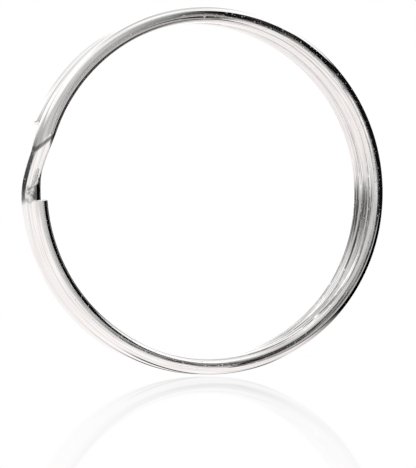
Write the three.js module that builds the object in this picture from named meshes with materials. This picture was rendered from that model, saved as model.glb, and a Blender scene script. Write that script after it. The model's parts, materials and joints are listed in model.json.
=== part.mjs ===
// Split key ring: one flat spring-steel wire wound twice round, with the two turns lying side by side.
//
// Frame: millimetres, +Z up, origin at the ring's centre. The ring stands upright, its axis is Y, and its
// front faces -Y. Angles go round the coil from +X towards +Z and keep counting past 360 degrees:
//   front leaf   184 to 304   the springy free end of the front turn
//   front turn   304 to 523   the stiff rest of the front turn
//   crossover    523 to 540   the step from the front turn to the rear one
//   rear turn    540 to 759   the stiff part of the rear turn
//   rear leaf    759 to 879   the springy free end of the rear turn
// A leaf is cut into short links, because it bends all along when a key is pushed between the turns.

import * as THREE from 'three';

const OUTER_DIAMETER = 30;
const WIRE_WIDTH = 1.3; // across the wire, from the inside of the ring to the outside
const WIRE_DEPTH = 2.0; // along the ring's axis
const EDGE_RADIUS = 0.45; // rolled edges of the flat wire
const TURN_GAP = 0.06; // between the faces of the two turns
const SEAM = 0.04; // between two stretches of the wire
const TIP_BEVEL = 0.12; // nipped edge at each free end

const CROSSOVER_START = 523; // degrees, where the wire leaves the front turn
const CROSSOVER_SPAN = 17;
const FRONT_TIP_GAP = 4; // degrees between the crossover and the front turn's free end
const REAR_TIP_GAP = 4;
const LEAF_SPAN = 120;
const LEAF_LINKS = 6;
const TURN_ARCS = 4;

const BEND_SHARE = 0.32; // share of the crossover taken up by each of its two bends
const ARC_STEP = 4.5; // degrees between cross-sections
const CROSSOVER_STEP = 1.25;
const EDGE_STEPS = 4; // facets on each rolled edge, an even number

const MIDDLE_RADIUS = (OUTER_DIAMETER - WIRE_WIDTH) / 2;
const LAYER = (WIRE_DEPTH + TURN_GAP) / 2; // from the ring's middle plane to the middle of each turn

const CROSSOVER_END = CROSSOVER_START + CROSSOVER_SPAN;
const FRONT_TIP = CROSSOVER_END - 360 + FRONT_TIP_GAP;
const REAR_TIP = CROSSOVER_START + 360 - REAR_TIP_GAP;
const FRONT_ROOT = FRONT_TIP + LEAF_SPAN;
const REAR_ROOT = REAR_TIP - LEAF_SPAN;

const steel = new THREE.MeshStandardMaterial({ color: 0xc9cbcd, roughness: 0.16, metalness: 1 });
const leafSteel = new THREE.MeshStandardMaterial({ color: 0xd6d7d9, roughness: 0.16, metalness: 1 });

function degreesOf(length) {
  return THREE.MathUtils.radToDeg(length / MIDDLE_RADIUS);
}

// The flat wire's cross-section: x runs outwards across the wire and y along the ring's axis.
function wireSection() {
  const x = WIRE_WIDTH / 2 - EDGE_RADIUS;
  const y = WIRE_DEPTH / 2 - EDGE_RADIUS;
  const section = new THREE.Shape();
  section.absarc(x, y, EDGE_RADIUS, 0, Math.PI / 2);
  section.absarc(-x, y, EDGE_RADIUS, Math.PI / 2, Math.PI);
  section.absarc(-x, -y, EDGE_RADIUS, Math.PI, 1.5 * Math.PI);
  section.absarc(x, -y, EDGE_RADIUS, 1.5 * Math.PI, 2 * Math.PI);
  section.closePath();
  return section;
}

// How far the crossover has stepped back, from 0 to 1: a bend, a straight ramp and a second bend.
function stepBack(share) {
  const climb = 1 / (1 - BEND_SHARE);
  if (share < BEND_SHARE) {
    return (climb * share ** 2) / (2 * BEND_SHARE);
  }
  if (share > 1 - BEND_SHARE) {
    return 1 - (climb * (1 - share) ** 2) / (2 * BEND_SHARE);
  }
  return climb * (share - BEND_SHARE / 2);
}

// Where the middle of the wire lies along Y at an angle round the coil.
function layerAt(angle) {
  const share = (angle - CROSSOVER_START) / CROSSOVER_SPAN;
  return LAYER * (2 * stepBack(THREE.MathUtils.clamp(share, 0, 1)) - 1);
}

// Puts the wire's cross-section square to its path at an angle round the coil.
function sectionFrame(angle) {
  const turn = THREE.MathUtils.degToRad(angle);
  const outwards = new THREE.Vector3(Math.cos(turn), 0, Math.sin(turn));
  const onwards = new THREE.Vector3(-Math.sin(turn), 0, Math.cos(turn));
  const run = 2 * THREE.MathUtils.degToRad(0.1) * MIDDLE_RADIUS;
  const slope = Math.atan2(layerAt(angle + 0.1) - layerAt(angle - 0.1), run);
  const across = new THREE.Vector3(0, Math.cos(slope), 0).addScaledVector(onwards, -Math.sin(slope));
  const middle = outwards.clone().multiplyScalar(MIDDLE_RADIUS).setY(layerAt(angle));
  return { outwards, across, middle };
}

// Cross-section angles from one seam to the next, with half of a seam left open at each end.
function evenStations(from, to, step) {
  const start = from + degreesOf(SEAM / 2);
  const end = to - degreesOf(SEAM / 2);
  const count = Math.ceil((to - from) / step);
  return Array.from({ length: count + 1 }, (_, i) => ({ angle: start + ((end - start) * i) / count, inset: 0 }));
}

// Nips the free end: the last cross-section shrinks, and one is added where the nip begins.
function nipEnd(stations, tip, side) {
  const nipped = stations.slice(1, -1);
  const root = side < 0 ? stations.at(-1) : stations[0];
  const shoulder = { angle: tip - side * degreesOf(TIP_BEVEL), inset: 0 };
  const point = { angle: tip, inset: TIP_BEVEL };
  return side < 0 ? [point, shoulder, ...nipped, root] : [root, ...nipped, shoulder, point];
}

// A stretch of wire, extruded straight with one step for each station and then wound onto the coil.
function windWire(stations) {
  const steps = stations.length - 1;
  const options = { depth: steps, steps, bevelEnabled: false, curveSegments: EDGE_STEPS / 2 };
  const wire = new THREE.ExtrudeGeometry(wireSection(), options);
  const position = wire.attributes.position;
  const frames = stations.map(({ angle }) => sectionFrame(angle));
  for (let i = 0; i < position.count; i += 1) {
    const place = Math.round(position.getZ(i));
    const { outwards, across, middle } = frames[place];
    const inset = stations[place].inset;
    const x = position.getX(i) * (1 - (2 * inset) / WIRE_WIDTH);
    const y = position.getY(i) * (1 - (2 * inset) / WIRE_DEPTH);
    const point = middle.clone().addScaledVector(outwards, x).addScaledVector(across, y);
    position.setXYZ(i, point.x, point.y, point.z);
  }
  wire.computeVertexNormals();
  return wire;
}

function addStretch(parent, name, stations, material) {
  const mesh = new THREE.Mesh(windWire(stations), material);
  mesh.name = name;
  parent.add(mesh);
}

// The stiff part of a turn, as arcs laid end to end.
function addTurn(parent, name, from, to) {
  const span = (to - from) / TURN_ARCS;
  for (let i = 0; i < TURN_ARCS; i += 1) {
    const start = from + i * span;
    addStretch(parent, `${name}_${i + 1}`, evenStations(start, start + span, ARC_STEP), steel);
  }
}

// A springy free end, as links from its root to its tip. Side is -1 where the tip points back down the
// angles and 1 where it points up them.
function addLeaf(parent, name, root, side) {
  const span = LEAF_SPAN / LEAF_LINKS;
  for (let i = 0; i < LEAF_LINKS; i += 1) {
    const near = root + side * i * span;
    const far = near + side * span;
    let stations = evenStations(Math.min(near, far), Math.max(near, far), ARC_STEP);
    if (i === LEAF_LINKS - 1) {
      stations = nipEnd(stations, far, side);
    }
    addStretch(parent, `${name}_${i + 1}`, stations, leafSteel);
  }
}

const group = new THREE.Group();
addLeaf(group, 'front_leaf', FRONT_ROOT, -1);
addTurn(group, 'front_turn', FRONT_ROOT, CROSSOVER_START);
addStretch(group, 'crossover', evenStations(CROSSOVER_START, CROSSOVER_END, CROSSOVER_STEP), steel);
addTurn(group, 'rear_turn', CROSSOVER_END, REAR_ROOT);
addLeaf(group, 'rear_leaf', REAR_ROOT, 1);

export default group;
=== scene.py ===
import json
import math
import random

import bpy
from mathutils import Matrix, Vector


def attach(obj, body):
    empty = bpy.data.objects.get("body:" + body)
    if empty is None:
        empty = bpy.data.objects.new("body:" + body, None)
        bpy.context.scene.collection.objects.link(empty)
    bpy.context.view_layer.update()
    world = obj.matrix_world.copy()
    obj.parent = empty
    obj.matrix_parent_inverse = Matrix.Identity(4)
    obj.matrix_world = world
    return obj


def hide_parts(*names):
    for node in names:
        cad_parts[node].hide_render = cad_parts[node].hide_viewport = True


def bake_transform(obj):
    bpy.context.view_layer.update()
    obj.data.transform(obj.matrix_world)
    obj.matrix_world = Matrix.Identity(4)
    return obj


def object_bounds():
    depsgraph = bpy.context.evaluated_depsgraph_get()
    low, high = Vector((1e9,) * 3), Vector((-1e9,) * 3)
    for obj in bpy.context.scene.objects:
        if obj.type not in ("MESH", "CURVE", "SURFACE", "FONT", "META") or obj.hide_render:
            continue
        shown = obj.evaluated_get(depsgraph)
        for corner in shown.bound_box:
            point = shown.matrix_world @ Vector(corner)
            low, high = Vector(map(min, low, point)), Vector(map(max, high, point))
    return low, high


# ---------------------------------------------------------------- sizes
MM = 0.001
WIRE_WIDTH = 1.3 * MM
WIRE_DEPTH = 2.0 * MM
EDGE_RADIUS = 0.45 * MM
CROWN = 1.2  # degrees by which each flat leans at its edges, in shading only
CUT_BEVEL = 0.12 * MM  # nipped in round the edge of a cut end
CUT_BURR = 0.05 * MM
BEND_SHARE = 0.32  # share of the crossover that each of its two bends takes
CROSSOVER_SKEW = 7.0  # degrees by which the crossover lags on the outside of the ring

STATION_STEP = 1.0  # degrees round the ring from one section of the wire to the next
EDGE_STEPS = 8  # faces round each rolled edge
FLAT_STEPS = 4  # faces across each flat
SLOPE_PROBE = 0.1  # degrees to either side over which the wire's slope is measured
CUT_ROUNDING = ((0.5, 0.13), (0.13, 0.5), (0.0, 1.0))  # (back from the cut, nipped in), as shares

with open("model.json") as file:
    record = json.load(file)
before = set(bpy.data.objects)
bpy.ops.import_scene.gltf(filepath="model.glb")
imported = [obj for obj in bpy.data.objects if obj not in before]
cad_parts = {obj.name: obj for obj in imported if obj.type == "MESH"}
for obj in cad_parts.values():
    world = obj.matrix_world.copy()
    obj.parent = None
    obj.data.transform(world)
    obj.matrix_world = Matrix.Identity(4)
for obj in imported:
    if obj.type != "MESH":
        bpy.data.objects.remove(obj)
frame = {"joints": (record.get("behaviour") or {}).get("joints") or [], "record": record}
cad_low, cad_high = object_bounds()
joints = {joint["name"]: joint for joint in frame["joints"]}

OUTER_RADIUS = cad_high.z
MIDDLE_RADIUS = OUTER_RADIUS - WIRE_WIDTH / 2
LAYER = cad_high.y - WIRE_DEPTH / 2  # from the ring's middle plane to the middle of a turn
FLOOR_LEVEL = cad_low.z - 0.1 * MM


def angle_of(point):
    """The angle of a point round the coil, in degrees from +X towards +Z."""
    return math.degrees(math.atan2(point[2], point[0])) % 360


def hinge_angles(leaf, turns):
    """The angles of a free end's hinges, so many whole turns on."""
    return [angle_of(joints[f"{leaf}_bend_{i}"]["pos_m"]) + 360 * turns for i in range(1, 7)]


# ---------------------------------------------------------------- angles along the wire
# They count up in degrees from the front tip to the rear one, through both turns.
FRONT_TIP = 184
CROSSOVER_START = 523
CROSSOVER_SPAN = 17
REAR_TIP = 879
FRONT_HINGES = hinge_angles("front", 0)
REAR_HINGES = hinge_angles("rear", 2)
LINK = FRONT_HINGES[0] - FRONT_HINGES[1]

# where the wire comes out of the crossover and a mottled painted shade is laid on it
SHADED_CORNER = math.radians(CROSSOVER_START + CROSSOVER_SPAN + 1) * MIDDLE_RADIUS  # along the wire
WORST_WEAR = math.radians(-35)  # round the ring
# round the ring, where the painted shade in the groove between the turns is darkest
DARKEST_SEAM = math.radians(135)


# ---------------------------------------------------------------- camera
CAMERA_AZIMUTH = -17.7
CAMERA_ELEVATION = -2.5
CAMERA_DISTANCE = 300 * MM
VIEW_HEIGHT = 38.28 * MM  # what the picture takes in from top to bottom, at the ring
RING_RIGHT = -0.0090  # from the picture's middle to the ring's, in picture heights
RING_UP = 0.0925


def add_camera():
    data = bpy.data.cameras.new("camera")
    data.lens = data.sensor_width * CAMERA_DISTANCE / VIEW_HEIGHT
    data.shift_x = -RING_RIGHT
    data.shift_y = -RING_UP
    data.clip_start = 0.01
    data.clip_end = 10
    azimuth, elevation = math.radians(CAMERA_AZIMUTH), math.radians(CAMERA_ELEVATION)
    level = math.cos(elevation)
    back = Vector((math.sin(azimuth) * level, -math.cos(azimuth) * level, math.sin(elevation)))
    camera = bpy.data.objects.new("camera", data)
    camera.location = back * CAMERA_DISTANCE
    camera.rotation_mode = "QUATERNION"
    camera.rotation_quaternion = (-back).to_track_quat("-Z", "Y")
    bpy.context.scene.collection.objects.link(camera)
    bpy.context.scene.camera = camera


add_camera()


# ---------------------------------------------------------------- the wire's path
def step_back(share):
    """How much of the way to the rear layer the wire has gone, at a share of the crossover."""
    climb = 1 / (1 - BEND_SHARE)
    if share < BEND_SHARE:
        return climb * share**2 / (2 * BEND_SHARE)
    if share > 1 - BEND_SHARE:
        return 1 - climb * (1 - share) ** 2 / (2 * BEND_SHARE)
    return climb * (share - BEND_SHARE / 2)


def layer_at(angle):
    """The wire's place along the ring's axis."""
    share = min(max((angle - CROSSOVER_START) / CROSSOVER_SPAN, 0), 1)
    return LAYER * (2 * step_back(share) - 1)


def section_frame(angle, lag=0.0):
    """The middle of the wire, its outward direction and its direction along the ring's axis."""
    turn = math.radians(angle)
    outwards = Vector((math.cos(turn), 0, math.sin(turn)))
    onwards = Vector((-math.sin(turn), 0, math.cos(turn)))
    run = 2 * math.radians(SLOPE_PROBE) * MIDDLE_RADIUS
    rise = layer_at(angle - lag + SLOPE_PROBE) - layer_at(angle - lag - SLOPE_PROBE)
    slope = math.atan2(rise, run)
    across = Vector((0, math.cos(slope), 0)) - onwards * math.sin(slope)
    middle = outwards * MIDDLE_RADIUS + Vector((0, layer_at(angle - lag), 0))
    return middle, outwards, across


def section_points():
    """Points round the wire's section as (x outwards, y along the axis, normal x, normal y)."""
    points = []
    x, y = WIRE_WIDTH / 2 - EDGE_RADIUS, WIRE_DEPTH / 2 - EDGE_RADIUS
    corners = [(x, y), (-x, y), (-x, -y), (x, -y)]
    for k, (corner_x, corner_y) in enumerate(corners):
        for i in range(EDGE_STEPS + 1):
            turn = math.radians(90 * (k + i / EDGE_STEPS))
            lean = math.radians(90 * k + CROWN + (90 - 2 * CROWN) * i / EDGE_STEPS)
            edge_x = corner_x + EDGE_RADIUS * math.cos(turn)
            edge_y = corner_y + EDGE_RADIUS * math.sin(turn)
            points.append((edge_x, edge_y, math.cos(lean), math.sin(lean)))
        # the flat runs on from the last point of the edge
        next_x, next_y = corners[(k + 1) % 4]
        for i in range(1, FLAT_STEPS):
            share = i / FLAT_STEPS
            lean = math.radians(90 * (k + 1) + CROWN * (2 * share - 1))
            flat_x = edge_x + (next_x - corner_x) * share
            flat_y = edge_y + (next_y - corner_y) * share
            points.append((flat_x, flat_y, math.cos(lean), math.sin(lean)))
    return points


def rolled_round(section):
    """The section's points on a circle of the same girth, for patterns that close round the wire."""
    steps = [math.dist(section[k - 1][:2], section[k][:2]) for k in range(len(section))]
    girth = sum(steps)
    radius = girth / (2 * math.pi)
    turns = [2 * math.pi * sum(steps[1 : k + 1]) / girth for k in range(len(section))]
    return [(radius * math.cos(turn), radius * math.sin(turn)) for turn in turns]


SECTION = section_points()
ROLLED_SECTION = rolled_round(SECTION)


# ---------------------------------------------------------------- the wire's mesh
def wire_stations(start, end, tip):
    """The angle of each section along a stretch, with the share by which it is nipped in."""
    count = max(2, round((end - start) / STATION_STEP))
    stations = [(start + (end - start) * i / count, 0.0) for i in range(count + 1)]
    bevel = math.degrees(CUT_BEVEL / MIDDLE_RADIUS)
    if tip == "end":
        stations[-1] = (end - bevel, 0.0)
        stations += [(end - bevel * back, nipped) for back, nipped in CUT_ROUNDING]
    if tip == "start":
        stations[0] = (start + bevel, 0.0)
        rounding = [(start + bevel * back, nipped) for back, nipped in reversed(CUT_ROUNDING)]
        stations = rounding + stations
    return stations


def wire_faces(count, tip):
    """Faces between neighbouring sections, and one face over a cut end."""
    around = len(SECTION)
    faces = []
    for i in range(count - 1):
        for k in range(around):
            here, beside = i * around + k, i * around + (k + 1) % around
            faces.append((here, beside, beside + around, here + around))
    if tip == "end":
        faces.append(tuple(range((count - 1) * around, count * around)))
    if tip == "start":
        faces.append(tuple(reversed(range(around))))
    return faces


def wire_mesh(name, start, end, tip):
    """A stretch of wire between two angles. tip is "start" or "end" where that end is cut.

    Three values are stored with its points for the metal. wire_run is the place along the wire
    and on the rolled section. wire_side says how far the surface faces outwards and towards the
    other turn, and how far it is nipped in. wire_step is the share of the crossover gone by.
    """
    stations = wire_stations(start, end, tip)
    facing = -1 if tip == "start" else 1
    chance = random.Random(3)
    points, normals, runs, sides, steps = [], [], [], [], []
    for angle, nipped in stations:
        along = math.radians(angle) * MIDDLE_RADIUS
        burr = nipped * CUT_BURR
        narrowed = 1 - 2 * CUT_BEVEL * nipped / WIRE_WIDTH
        thinned = 1 - 2 * CUT_BEVEL * nipped / WIRE_DEPTH
        lean = math.pi / 2 * math.sqrt(nipped)
        for (x, y, normal_x, normal_y), rolled in zip(SECTION, ROLLED_SECTION):
            lag = CROSSOVER_SKEW * x / WIRE_WIDTH
            middle, outwards, across = section_frame(angle, lag)
            endwards = outwards.cross(across) * facing
            ragged = endwards * chance.uniform(-burr, 0)
            points.append(middle + outwards * (x * narrowed) + across * (y * thinned) + ragged)
            sideways = (outwards * normal_x + across * normal_y) * math.cos(lean)
            normals.append((sideways + endwards * math.sin(lean)).normalized())
            runs += [along, *rolled]
            sides += [normal_x, -normal_y * layer_at(angle - lag) / LAYER, nipped]
            steps.append((angle - lag - CROSSOVER_START) / CROSSOVER_SPAN)
    mesh = bpy.data.meshes.new(name)
    mesh.from_pydata([tuple(point) for point in points], [], wire_faces(len(stations), tip))
    for polygon in mesh.polygons:
        polygon.use_smooth = len(polygon.vertices) == 4
    mesh.attributes.new("wire_run", "FLOAT_VECTOR", "POINT").data.foreach_set("vector", runs)
    mesh.attributes.new("wire_side", "FLOAT_VECTOR", "POINT").data.foreach_set("vector", sides)
    mesh.attributes.new("wire_step", "FLOAT", "POINT").data.foreach_set("value", steps)
    mesh.normals_split_custom_set_from_vertices([tuple(normal) for normal in normals])
    return mesh


# ---------------------------------------------------------------- materials
def grey(value):
    return (value, value, value, 1)


WHITE = grey(1)


class Graph:
    """Short ways to add and join nodes in one material or world."""

    def __init__(self, tree):
        self.tree = tree

    def add(self, kind, **settings):
        node = self.tree.nodes.new("ShaderNode" + kind)
        for key, value in settings.items():
            setattr(node, key, value)
        return node

    def feed(self, socket, value):
        if isinstance(value, bpy.types.NodeSocket):
            self.tree.links.new(value, socket)
        else:
            socket.default_value = value

    def attribute(self, name, output):
        return self.add("Attribute", attribute_name=name).outputs[output]

    def parts(self, vector):
        """The x, y and z of a vector."""
        node = self.add("SeparateXYZ")
        self.feed(node.inputs[0], vector)
        return node.outputs["X"], node.outputs["Y"], node.outputs["Z"]

    def math(self, operation, a, b=0.0, c=0.0):
        node = self.add("Math", operation=operation)
        for socket, value in zip(node.inputs, (a, b, c)):
            self.feed(socket, value)
        return node.outputs[0]

    def product(self, *values):
        """Two or more values multiplied together."""
        result = values[0]
        for value in values[1:]:
            result = self.math("MULTIPLY", result, value)
        return result

    def distance(self, a, b):
        return self.math("ABSOLUTE", self.math("SUBTRACT", a, b))

    def scale(self, vector, factor):
        node = self.add("VectorMath", operation="SCALE")
        self.feed(node.inputs[0], vector)
        self.feed(node.inputs["Scale"], factor)
        return node.outputs["Vector"]

    def stretch(self, vector, factors):
        node = self.add("VectorMath", operation="MULTIPLY")
        self.feed(node.inputs[0], vector)
        self.feed(node.inputs[1], factors)
        return node.outputs["Vector"]

    def step(self, value, low, high, to_low=0.0, to_high=1.0):
        """A smooth step from to_low at low to to_high at high."""
        node = self.add("MapRange", interpolation_type="SMOOTHSTEP")
        for name, given in (
            ("Value", value),
            ("From Min", low),
            ("From Max", high),
            ("To Min", to_low),
            ("To Max", to_high),
        ):
            self.feed(node.inputs[name], given)
        return node.outputs["Result"]

    def noise(self, vector, scale, detail=2.0):
        node = self.add("TexNoise")
        self.feed(node.inputs["Vector"], vector)
        self.feed(node.inputs["Scale"], scale)
        self.feed(node.inputs["Detail"], detail)
        return node.outputs["Fac"]

    def ramp(self, value, stops):
        """A colour ramp through (position, brightness or colour) stops."""
        node = self.add("ValToRGB")
        self.feed(node.inputs["Fac"], value)
        points = node.color_ramp.elements
        points[0].position = stops[0][0]
        points[1].position = stops[-1][0]
        for position, _ in stops[1:-1]:
            points.new(position)
        for point, (_, colour) in zip(points, stops):
            point.color = (*colour, 1) if hasattr(colour, "__len__") else grey(colour)
        return node.outputs["Color"]

    def mix(self, amount, a, b, blend_type="MIX"):
        node = self.add("Mix", data_type="RGBA", blend_type=blend_type)
        self.feed(node.inputs["Factor"], amount)
        self.feed(node.inputs["A"], a)
        self.feed(node.inputs["B"], b)
        return node.outputs["Result"]


def new_material(name):
    material = bpy.data.materials.new(name)
    material.use_nodes = True
    graph = Graph(material.node_tree)
    return material, graph, material.node_tree.nodes["Principled BSDF"]


# Heights of the marks in the metal, in millimetres
COARSE_LINES = 0.006
FINE_LINES = 0.003
HAIR_LINES = 0.0008
WAVES = 0.003
PITS = 0.006
TORN_GRAIN = 0.06
WORN_RELIEF = 2.5  # how strongly the lines stand out where the wire is worn
PLAIN_RELIEF = 0.1  # and elsewhere

WARM_NICKEL = (0.86, 0.83, 0.82)
CLEAN_NICKEL = (0.9, 0.895, 0.89)
# painted shade in the groove between the two turns
SEAM_SHADE = grey(0.15)
BEND_MARK = grey(0.12)
BEND_MARK_AT = 0.075  # share of the crossover


def lines(g, run, along, apart):
    """Noise drawn out along the wire: so long, and so far apart round it, in millimetres."""
    return g.noise(g.stretch(run, (1000 / along, 1000 / apart, 1000 / apart)), 1.0)


def facing_angle(g, angle, middle):
    """1 at a given angle round the ring, falling to -1 on the far side of it."""
    return g.math("COSINE", g.math("SUBTRACT", angle, middle))


def metal_relief(g, run, fine, worn, cut):
    """The height of the metal's marks: drawn lines, waves, pits and the torn grain of a cut end."""
    relief = g.math(
        "ADD",
        g.product(lines(g, run, 9.0, 0.4), COARSE_LINES),
        g.product(fine, FINE_LINES),
    )
    relief = g.math("ADD", relief, g.product(lines(g, run, 1.5, 0.05), HAIR_LINES))
    relief = g.product(relief, g.math("MULTIPLY_ADD", worn, WORN_RELIEF, PLAIN_RELIEF))
    relief = g.math("ADD", relief, g.product(g.noise(run, 420.0, 1.0), WAVES))
    pits = g.step(g.noise(run, 6500.0, 0.0), 0.74, 0.82)
    relief = g.math("SUBTRACT", relief, g.product(pits, PITS))
    return g.math("ADD", relief, g.product(g.noise(run, 9000.0, 3.0), cut, TORN_GRAIN))


def worn_streaks(g, run, worn):
    """Dark streaks with bright dashes where keys have rubbed, and faint lines elsewhere."""
    dark = g.ramp(lines(g, run, 6.0, 0.16), [(0.4, 0.06), (0.47, 0.35), (0.52, 0.6), (0.56, 1.0)])
    dashes = g.step(lines(g, run, 0.7, 0.12), 0.6, 0.66)
    streaks = g.mix(dashes, dark, WHITE)
    faint = g.ramp(lines(g, run, 7.0, 0.09), [(0.35, 0.72), (0.55, 1.0)])
    return g.mix(worn, faint, streaks)


def steel_material():
    """Bright nickel plate over drawn wire, worn inside the ring, with painted shade in the groove
    between the turns and just past the crossover.
    """
    material, g, shader = new_material("nickel_steel")
    run = g.attribute("wire_run", "Vector")
    outward, to_other_turn, nipped = g.parts(g.attribute("wire_side", "Vector"))
    along = g.parts(run)[0]
    angle = g.math("DIVIDE", along, MIDDLE_RADIUS)
    fine = lines(g, run, 4.0, 0.11)

    inside = g.step(g.product(outward, -1.0), 0.2, 0.8)
    worn = g.product(inside, g.step(facing_angle(g, angle, WORST_WEAR), 0.62, 0.9, 0.2, 1.0))
    bump = g.add("Bump")
    g.feed(bump.inputs["Strength"], 1.0)
    g.feed(bump.inputs["Distance"], MM)
    g.feed(bump.inputs["Height"], metal_relief(g, run, fine, worn, g.step(nipped, 0.3, 0.8)))
    g.feed(shader.inputs["Normal"], bump.outputs["Normal"])

    # wear streaks, with painted shade laid over them in the seam and just past the crossover
    wear_and_shade = worn_streaks(g, run, worn)
    # painted shade on the sides of the turns that face each other, darkest at 135 degrees round the
    # ring
    in_seam = g.step(to_other_turn, 0.35, 0.85)
    seam_shade_amount = g.step(facing_angle(g, angle, DARKEST_SEAM), 0.7, 0.9, 0.15, 0.85)
    wear_and_shade = g.mix(g.product(in_seam, seam_shade_amount), wear_and_shade, SEAM_SHADE)
    off_bend = g.distance(g.attribute("wire_step", "Fac"), BEND_MARK_AT)
    wear_and_shade = g.mix(g.step(off_bend, 0.015, 0.06, 0.85, 0), wear_and_shade, BEND_MARK)
    # mottled painted shade on the wire just past the crossover, where it lies in shadow
    corner_shade = g.ramp(g.noise(run, 1600.0), [(0.35, 0.05), (0.5, 0.25), (0.65, 0.8)])
    in_corner = g.step(g.distance(along, SHADED_CORNER), 0.5 * MM, 1.0 * MM, 1, 0)
    wear_and_shade = g.mix(in_corner, wear_and_shade, corner_shade)

    plate = g.ramp(g.noise(run, 260.0, 3.0), [(0.3, WARM_NICKEL), (0.7, CLEAN_NICKEL)])
    g.feed(shader.inputs["Base Color"], g.mix(1.0, plate, wear_and_shade, "MULTIPLY"))
    g.feed(shader.inputs["Metallic"], 1.0)
    g.feed(shader.inputs["Roughness"], g.step(fine, 0.35, 0.75, 0.04, 0.13))
    return material


STEEL = steel_material()


# ---------------------------------------------------------------- the ring
def add_piece(name, start, end, nodes, tip=None):
    """A stretch of steel wire that stands for some of the CAD nodes."""
    piece = bpy.data.objects.new(name, wire_mesh(name, start, end, tip))
    piece.data.materials.append(STEEL)
    bpy.context.scene.collection.objects.link(piece)
    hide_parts(*nodes)
    return piece


def add_coil():
    """The stiff part of the wire, between the two free ends."""
    nodes = frame["record"]["behaviour"]["bodies"]["coil"]
    coil = add_piece("coil_wire", FRONT_HINGES[0] + LINK / 2, REAR_HINGES[0] - LINK / 2, nodes)
    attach(coil, "coil")


def add_leaf(leaf, hinges, onwards, tip_angle):
    """A free end, one piece over each hinge. onwards is 1 where angles grow towards its tip, or -1."""
    for i, hinge in enumerate(hinges, start=1):
        near, far = hinge - onwards * LINK / 2, hinge + onwards * LINK / 2
        tip = None
        if i == len(hinges):
            far = tip_angle
            tip = "end" if onwards > 0 else "start"
        link = f"{leaf}_leaf_{i}"
        piece = add_piece(f"{leaf}_wire_{i}", min(near, far), max(near, far), [link], tip)
        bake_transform(piece)


add_coil()
add_leaf("front", FRONT_HINGES, -1, FRONT_TIP)
add_leaf("rear", REAR_HINGES, 1, REAR_TIP)


# ---------------------------------------------------------------- floor
def azimuth_of(g, x, y):
    """A direction seen from above, in degrees from -Y towards +X."""
    return g.math("DEGREES", g.math("ARCTAN2", x, g.product(y, -1.0)))


def floor_light(g, x, y):
    """How brightly the floor shines on the ring: from the left, the near right and behind.

    It is almost dark under the ring, in the ring's own shadow.
    """
    azimuth = azimuth_of(g, x, y)
    end_of_left = g.step(y, -50 * MM, -35 * MM, 16.7, 20.6)
    left = g.step(g.math("SUBTRACT", azimuth, end_of_left), -0.3, 0.3, 1, 0)
    to_right = g.product(g.step(azimuth, 20.5, 22), g.step(azimuth, 46, 54, 1, 0))
    near_right = g.product(to_right, g.step(y, -28 * MM, -18 * MM, 0.5, 0))
    slanted_x = g.math("MULTIPLY_ADD", g.math("MAXIMUM", y, 0.0), -0.4, x)
    behind = g.product(g.step(slanted_x, 8 * MM, 22 * MM, 1, 0), g.step(y, -14 * MM, -8 * MM))
    lit = g.math("MAXIMUM", left, g.math("MAXIMUM", near_right, behind))
    beside = g.step(g.math("ABSOLUTE", x), 5 * MM, 9 * MM)
    before = g.step(g.math("ABSOLUTE", y), 1.35 * MM, 1.75 * MM)
    out_of_shadow = g.math("MULTIPLY_ADD", g.math("MAXIMUM", beside, before), 0.95, 0.05)
    return g.product(lit, 1.1, out_of_shadow)


def floor_material():
    """Pale gloss acrylic. The camera sees it white, with a mirror image that fades to the front. To
    the ring it glows with painted light, and a painted shadow under the ring.
    """
    material, g, shader = new_material("floor_gloss")
    nodes = material.node_tree.nodes
    nodes.remove(shader)
    x, y, _ = g.parts(g.add("NewGeometry").outputs["Position"])
    glow = g.add("Emission")
    g.feed(glow.inputs["Color"], (1.0, 0.975, 0.97, 1))
    g.feed(glow.inputs["Strength"], floor_light(g, x, y))
    white = g.add("Emission")
    gloss = g.add("BsdfGlossy")
    g.feed(gloss.inputs["Roughness"], 0.015)
    acrylic = g.add("MixShader")
    g.feed(acrylic.inputs["Fac"], g.step(y, -0.28, -0.02, 0.04, 0.24))
    g.feed(acrylic.inputs[1], white.outputs["Emission"])
    g.feed(acrylic.inputs[2], gloss.outputs["BSDF"])
    floor = g.add("MixShader")
    g.feed(floor.inputs["Fac"], g.add("LightPath").outputs["Is Camera Ray"])
    g.feed(floor.inputs[1], glow.outputs["Emission"])
    g.feed(floor.inputs[2], acrylic.outputs["Shader"])
    g.feed(nodes["Material Output"].inputs["Surface"], floor.outputs["Shader"])
    return material


def add_floor(half=2.0):
    mesh = bpy.data.meshes.new("floor")
    corners = [(-half, -half, 0), (half, -half, 0), (half, half, 0), (-half, half, 0)]
    mesh.from_pydata(corners, [], [(0, 1, 2, 3)])
    mesh.materials.append(floor_material())
    floor = bpy.data.objects.new("floor", mesh)
    floor.location = (0, 0, FLOOR_LEVEL)
    bpy.context.scene.collection.objects.link(floor)


# ---------------------------------------------------------------- light tent
# Brightness of the tent by height, as (degrees above the horizon, brightness)
LOWEST, HIGHEST = -10, 40
BEHIND = ((-1, 1), (1, 0.35), (6, 0.3), (8.5, 1), (13, 0.65), (17.5, 0.74), (22, 0.85), (27, 1))
BEHIND_LEFT = ((-1, 1), (0.5, 0.5), (2, 0.15), (4, 0.05), (8, 0.08), (11, 0.35), (15, 0.6), (24, 1))
LEFT = ((-2, 1), (5, 0.5), (30, 0.42))
ROUND_CAMERA = ((-5, 0.8), (0, 0.7), (4, 0.5), (14, 0.5), (22, 0.55), (34, 1))
WINDOW = ((-1, 0.4), (2, 0.42), (3.2, 1))
ZENITH = grey(0.7)
DARK = 0.004
DARK_TOP = ((18, 13), (24, 19), (44, 33), (72, 35))  # azimuth, and how high the dark side reaches
TENT_STRENGTH = 1.25


def by_height(g, height, stops):
    """Brightness by height, through (degrees, brightness) stops between LOWEST and HIGHEST."""
    span = HIGHEST - LOWEST
    share = g.math("DIVIDE", g.math("SUBTRACT", height, LOWEST), span)
    return g.ramp(share, [((angle - LOWEST) / span, value) for angle, value in stops])


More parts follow.
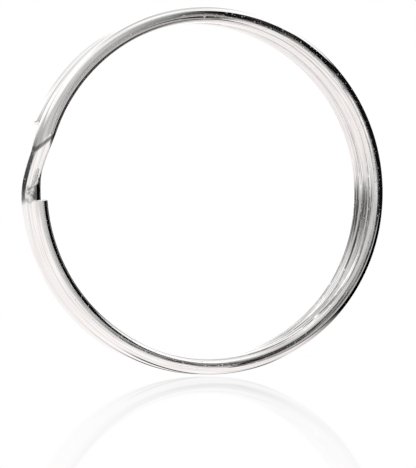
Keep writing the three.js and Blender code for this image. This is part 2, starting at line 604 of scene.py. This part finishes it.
def tent_around_left(g, azimuth, height):
    """The white and grey cloth from straight behind, round by the left, to the camera."""
    colour = g.mix(g.step(azimuth, -180, -175), by_height(g, height, BEHIND), WHITE)
    colour = g.mix(g.step(azimuth, -172, -169), colour, by_height(g, height, BEHIND_LEFT))
    left = g.mix(g.step(height, 24, 34), by_height(g, height, LEFT), WHITE)
    colour = g.mix(g.step(azimuth, -160.5, -157), colour, left)
    before = by_height(g, height, ROUND_CAMERA)
    shaded = g.scale(before, g.step(azimuth, 12, 17, 1.1, 0.95))
    before = g.mix(g.step(height, 20, 26), shaded, before)
    return g.mix(g.step(azimuth, -35, -20), colour, before)


def dark_side(g, azimuth, height):
    """The open, dark side, with white cloth above it."""
    stops = [(angle / 180, top / 90) for angle, top in DARK_TOP]
    top = g.product(g.ramp(g.math("DIVIDE", azimuth, 180), stops), 90)
    return g.step(g.math("SUBTRACT", height, top), -1.5, 1.5, DARK, 1)


def tent_colour(g, azimuth, height):
    """The whole tent: cloth to the left, a low window, the dark side, and cloth again behind."""
    colour = tent_around_left(g, azimuth, height)
    window_top = g.step(azimuth, 18.4, 19.0, 3.1, 4.2)
    under_top = g.step(g.math("SUBTRACT", height, window_top), -0.3, 0.3, 1, 0)
    window = g.product(g.step(height, 0.1, 0.6), under_top)
    in_window = g.product(window, g.step(azimuth, 16.5, 18.5))
    colour = g.mix(in_window, colour, by_height(g, height, WINDOW))

    start_of_dark = g.math("MULTIPLY_ADD", window, 3.9, 17.1)
    in_dark = g.step(g.math("SUBTRACT", azimuth, start_of_dark), -0.3, 0.3)
    under_window = g.product(
        g.step(azimuth, 16.4, 16.8),
        g.step(azimuth, 18.9, 19.4, 1, 0),
        g.step(height, 1.6, 2.2, 1, 0),
    )
    in_dark = g.math("MAXIMUM", in_dark, under_window)
    colour = g.mix(in_dark, colour, dark_side(g, azimuth, height))

    colour = g.mix(g.step(azimuth, 125, 145), colour, WHITE)
    colour = g.mix(g.step(azimuth, 166.5, 170), colour, by_height(g, height, BEHIND))
    return g.mix(g.step(height, 55, 70), colour, ZENITH)


def add_studio():
    """A light tent that the metal mirrors. Seen straight by the camera it is plain white."""
    world = bpy.data.worlds.new("tent")
    world.use_nodes = True
    g = Graph(world.node_tree)
    x, y, z = g.parts(g.add("TexCoord").outputs["Generated"])
    height = g.math("DEGREES", g.math("ARCSINE", z))
    colour = tent_colour(g, azimuth_of(g, x, y), height)
    background = world.node_tree.nodes["Background"]
    seen = g.add("LightPath").outputs["Is Camera Ray"]
    extra = g.product(seen, TENT_STRENGTH - 1)
    g.feed(background.inputs["Color"], g.mix(seen, colour, WHITE))
    g.feed(background.inputs["Strength"], g.math("SUBTRACT", TENT_STRENGTH, extra))
    bpy.context.scene.world = world


add_floor()
add_studio()
bpy.context.scene.view_settings.view_transform = "Standard"
